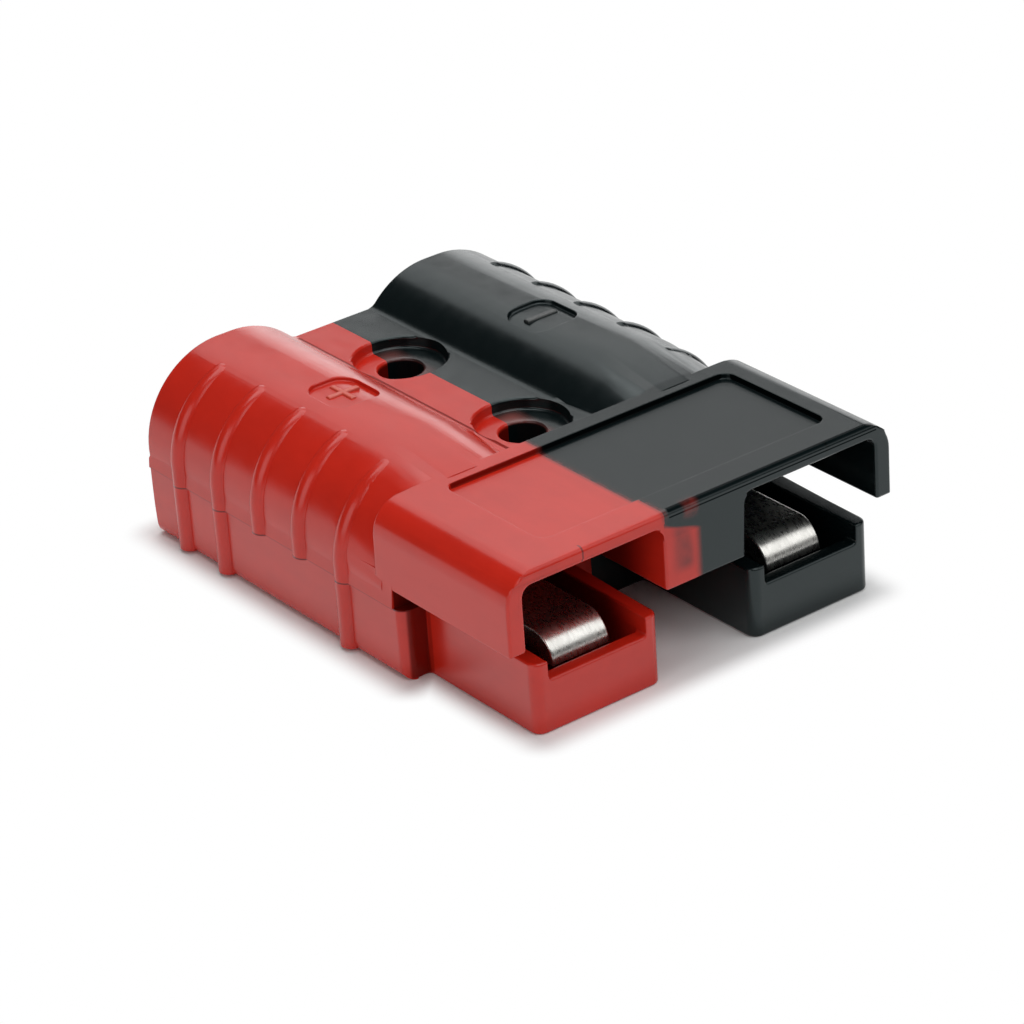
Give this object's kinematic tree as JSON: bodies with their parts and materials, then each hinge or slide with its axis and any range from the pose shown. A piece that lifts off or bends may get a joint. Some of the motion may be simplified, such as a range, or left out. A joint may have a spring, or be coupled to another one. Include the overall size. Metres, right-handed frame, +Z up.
{
  "type": "two-pole power connector",
  "caption": "Flat genderless high-current cable connector: red and black ribbed housing halves, open hood at the mating end, plated tongue contacts on leaf springs, mounting holes.",
  "frame": {"origin": "middle of the bounding box on the plane that the flat underside lies on", "axes": "+Z up from the flat underside, the mating end faces -Y and the cables leave at +Y, the positive pole is on -X"},
  "size_m": [0.0382, 0.0474, 0.0152],
  "materials": {
    "red_plastic": "moulded polycarbonate, glossy",
    "black_plastic": "moulded polycarbonate, glossy",
    "silver_plate": "silver plate on copper, lightly scratched",
    "spring_steel": "bright spring steel"
  },
  "bodies": {
    "root": {"positive_housing": "red_plastic", "negative_housing": "black_plastic", "positive_contact": "silver_plate", "negative_contact": "silver_plate", "positive_spring": "spring_steel", "negative_spring": "spring_steel"}
  },
  "joints": []
}
